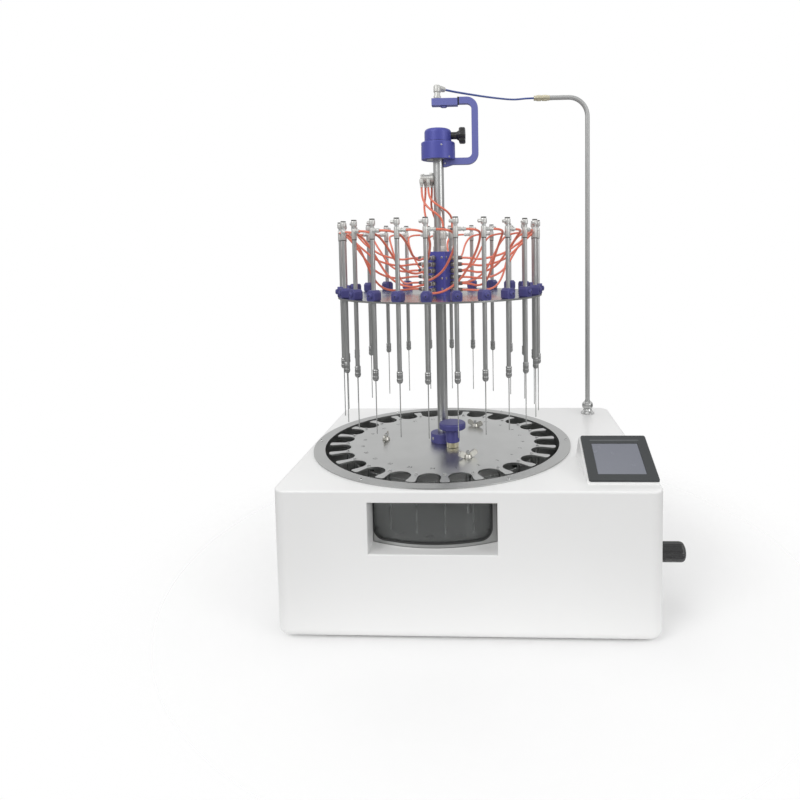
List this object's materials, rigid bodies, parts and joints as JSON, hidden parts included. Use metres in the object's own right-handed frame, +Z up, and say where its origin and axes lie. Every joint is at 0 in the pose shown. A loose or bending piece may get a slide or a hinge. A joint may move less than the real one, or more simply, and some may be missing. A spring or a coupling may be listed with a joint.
{
  "type": "nitrogen sample evaporator",
  "caption": "Bench evaporator: a round heated bath with a turning tube rack, and height-set gas needles fed by hoses from a manifold on the centre column.",
  "frame": {"origin": "middle of the footprint's box on the bench surface, which takes in the drain knob and the gas inlet but not the hoses", "axes": "+Z up, -Y towards the user at the window side, +X towards the touch screen and the drain knob"},
  "size_m": [0.539, 0.422, 0.7612],
  "materials": {
    "housing_white": "satin white moulding",
    "pan_steel": "grey coated sheet",
    "foot_rubber": "matte black",
    "bath_steel": "drawn stainless",
    "window_glass": "dark curved glass",
    "ring_steel": "brushed stainless",
    "screw_steel": "bright stainless",
    "heater_mat": "silicone heater mat",
    "bearing_polymer": "bearing polymer",
    "screen_black": "black bezel with grey display",
    "board_green": "circuit board",
    "inlet_black": "black moulding",
    "switch_black": "black rocker",
    "valve_brass": "turned brass",
    "knob_black": "black moulding",
    "pipe_steel": "polished stainless pipe",
    "coupling_brass": "bright brass",
    "supply_hose_blue": "blue polyurethane hose",
    "elbow_nickel": "nickel-plated push-in fitting",
    "rack_steel": "bead-blasted stainless",
    "post_steel": "drawn rod",
    "spring_steel": "coiled spring wire",
    "nut_steel": "cast wing nut",
    "anodised_blue": "blue anodised",
    "arm_blue": "blue anodised, satin",
    "column_steel": "ground stainless",
    "disc_steel": "polished stainless sheet",
    "fitting_brass": "aged brass and dark collars",
    "hose_salmon": "salmon silicone hose",
    "holder_steel": "ground stainless tube"
  },
  "bodies": {
    "base": {"housing_shell": "housing_white", "base_pan": "pan_steel", "rubber_feet": "foot_rubber", "bath_tank": "bath_steel", "bath_window": "window_glass", "bath_ring": "ring_steel", "ring_screws": "screw_steel", "bath_heater": "heater_mat", "spindle_bearing": "bearing_polymer", "touch_screen": "screen_black", "control_board": "board_green", "power_inlet": "inlet_black", "drain_valve": "valve_brass", "supply_pipe": "pipe_steel", "brass_fittings": "coupling_brass", "supply_hose": "supply_hose_blue", "swivel_elbow": "elbow_nickel"},
    "rotor": {"rack_plate": "rack_steel", "rack_base_plate": "rack_steel", "rack_posts": "post_steel", "retaining_spring": "spring_steel", "wing_nuts": "nut_steel", "hub_block": "anodised_blue", "column": "column_steel", "head": "anodised_blue", "gas_arm": "arm_blue", "feed_distributor": "elbow_nickel"},
    "carriage": {"nozzle_disc": "disc_steel", "manifold_block": "anodised_blue", "manifold_fittings": "fitting_brass", "needle_clamps": "anodised_blue", "gas_hoses": "hose_salmon"},
    "power_switch": {"power_switch": "switch_black"},
    "drain_knob": {"drain_knob": "knob_black"},
    "head_knob": {"head_knob": "knob_black"},
    "lock_knob": {"lock_knob": "anodised_blue"},
    "needle_01": {"needle_01": "holder_steel"},
    "needle_02": {"needle_02": "holder_steel"},
    "needle_03": {"needle_03": "holder_steel"},
    "needle_04": {"needle_04": "holder_steel"},
    "needle_05": {"needle_05": "holder_steel"},
    "needle_06": {"needle_06": "holder_steel"},
    "needle_07": {"needle_07": "holder_steel"},
    "needle_08": {"needle_08": "holder_steel"},
    "needle_09": {"needle_09": "holder_steel"},
    "needle_10": {"needle_10": "holder_steel"},
    "needle_11": {"needle_11": "holder_steel"},
    "needle_12": {"needle_12": "holder_steel"},
    "needle_13": {"needle_13": "holder_steel"},
    "needle_14": {"needle_14": "holder_steel"},
    "needle_15": {"needle_15": "holder_steel"},
    "needle_16": {"needle_16": "holder_steel"},
    "needle_17": {"needle_17": "holder_steel"},
    "needle_18": {"needle_18": "holder_steel"},
    "needle_19": {"needle_19": "holder_steel"},
    "needle_20": {"needle_20": "holder_steel"},
    "needle_21": {"needle_21": "holder_steel"},
    "needle_22": {"needle_22": "holder_steel"},
    "needle_23": {"needle_23": "holder_steel"},
    "needle_24": {"needle_24": "holder_steel"}
  },
  "joints": [
    {"name": "rack_turn", "type": "hinge", "parent": "base", "child": "rotor", "pos_m": [-0.0695, -0.011, 0.197], "axis": [0, 0, 1], "continuous": true},
    {"name": "carriage_slide", "type": "slide", "parent": "rotor", "child": "carriage", "axis": [0, 0, 1], "range_m": [-0.008, 0.036], "deforming": ["gas_hoses"]},
    {"name": "head_knob_turn", "type": "hinge", "parent": "rotor", "child": "head_knob", "pos_m": [-0.0335, -0.011, 0.6646], "axis": [1, 0, 0], "range_deg": [0, 360]},
    {"name": "lock_knob_turn", "type": "hinge", "parent": "rotor", "child": "lock_knob", "pos_m": [-0.0525, -0.041, 0.21], "axis": [0, 0, 1], "range_deg": [0, 360]},
    {"name": "drain_knob_turn", "type": "hinge", "parent": "base", "child": "drain_knob", "pos_m": [0.2405, -0.121, 0.076], "axis": [1, 0, 0], "range_deg": [0, 90]},
    {"name": "power_switch_rock", "type": "hinge", "parent": "base", "child": "power_switch", "pos_m": [0.0905, 0.1905, 0.062], "axis": [1, 0, 0], "range_deg": [-16, 0]},
    {"name": "needle_slide_01", "type": "slide", "parent": "carriage", "child": "needle_01", "axis": [0, 0, 1], "range_m": [-0.06, 0.06]},
    {"name": "needle_slide_02", "type": "slide", "parent": "carriage", "child": "needle_02", "axis": [0, 0, 1], "range_m": [-0.06, 0.06]},
    {"name": "needle_slide_03", "type": "slide", "parent": "carriage", "child": "needle_03", "axis": [0, 0, 1], "range_m": [-0.06, 0.06]},
    {"name": "needle_slide_04", "type": "slide", "parent": "carriage", "child": "needle_04", "axis": [0, 0, 1], "range_m": [-0.06, 0.06]},
    {"name": "needle_slide_05", "type": "slide", "parent": "carriage", "child": "needle_05", "axis": [0, 0, 1], "range_m": [-0.06, 0.06]},
    {"name": "needle_slide_06", "type": "slide", "parent": "carriage", "child": "needle_06", "axis": [0, 0, 1], "range_m": [-0.06, 0.06]},
    {"name": "needle_slide_07", "type": "slide", "parent": "carriage", "child": "needle_07", "axis": [0, 0, 1], "range_m": [-0.06, 0.06]},
    {"name": "needle_slide_08", "type": "slide", "parent": "carriage", "child": "needle_08", "axis": [0, 0, 1], "range_m": [-0.06, 0.06]},
    {"name": "needle_slide_09", "type": "slide", "parent": "carriage", "child": "needle_09", "axis": [0, 0, 1], "range_m": [-0.06, 0.06]},
    {"name": "needle_slide_10", "type": "slide", "parent": "carriage", "child": "needle_10", "axis": [0, 0, 1], "range_m": [-0.06, 0.06]},
    {"name": "needle_slide_11", "type": "slide", "parent": "carriage", "child": "needle_11", "axis": [0, 0, 1], "range_m": [-0.06, 0.06]},
    {"name": "needle_slide_12", "type": "slide", "parent": "carriage", "child": "needle_12", "axis": [0, 0, 1], "range_m": [-0.06, 0.06]},
    {"name": "needle_slide_13", "type": "slide", "parent": "carriage", "child": "needle_13", "axis": [0, 0, 1], "range_m": [-0.06, 0.06]},
    {"name": "needle_slide_14", "type": "slide", "parent": "carriage", "child": "needle_14", "axis": [0, 0, 1], "range_m": [-0.06, 0.06]},
    {"name": "needle_slide_15", "type": "slide", "parent": "carriage", "child": "needle_15", "axis": [0, 0, 1], "range_m": [-0.06, 0.06]},
    {"name": "needle_slide_16", "type": "slide", "parent": "carriage", "child": "needle_16", "axis": [0, 0, 1], "range_m": [-0.06, 0.06]},
    {"name": "needle_slide_17", "type": "slide", "parent": "carriage", "child": "needle_17", "axis": [0, 0, 1], "range_m": [-0.06, 0.06]},
    {"name": "needle_slide_18", "type": "slide", "parent": "carriage", "child": "needle_18", "axis": [0, 0, 1], "range_m": [-0.06, 0.06]},
    {"name": "needle_slide_19", "type": "slide", "parent": "carriage", "child": "needle_19", "axis": [0, 0, 1], "range_m": [-0.06, 0.06]},
    {"name": "needle_slide_20", "type": "slide", "parent": "carriage", "child": "needle_20", "axis": [0, 0, 1], "range_m": [-0.06, 0.06]},
    {"name": "needle_slide_21", "type": "slide", "parent": "carriage", "child": "needle_21", "axis": [0, 0, 1], "range_m": [-0.06, 0.06]},
    {"name": "needle_slide_22", "type": "slide", "parent": "carriage", "child": "needle_22", "axis": [0, 0, 1], "range_m": [-0.06, 0.06]},
    {"name": "needle_slide_23", "type": "slide", "parent": "carriage", "child": "needle_23", "axis": [0, 0, 1], "range_m": [-0.06, 0.06]},
    {"name": "needle_slide_24", "type": "slide", "parent": "carriage", "child": "needle_24", "axis": [0, 0, 1], "range_m": [-0.06, 0.06]}
  ]
}
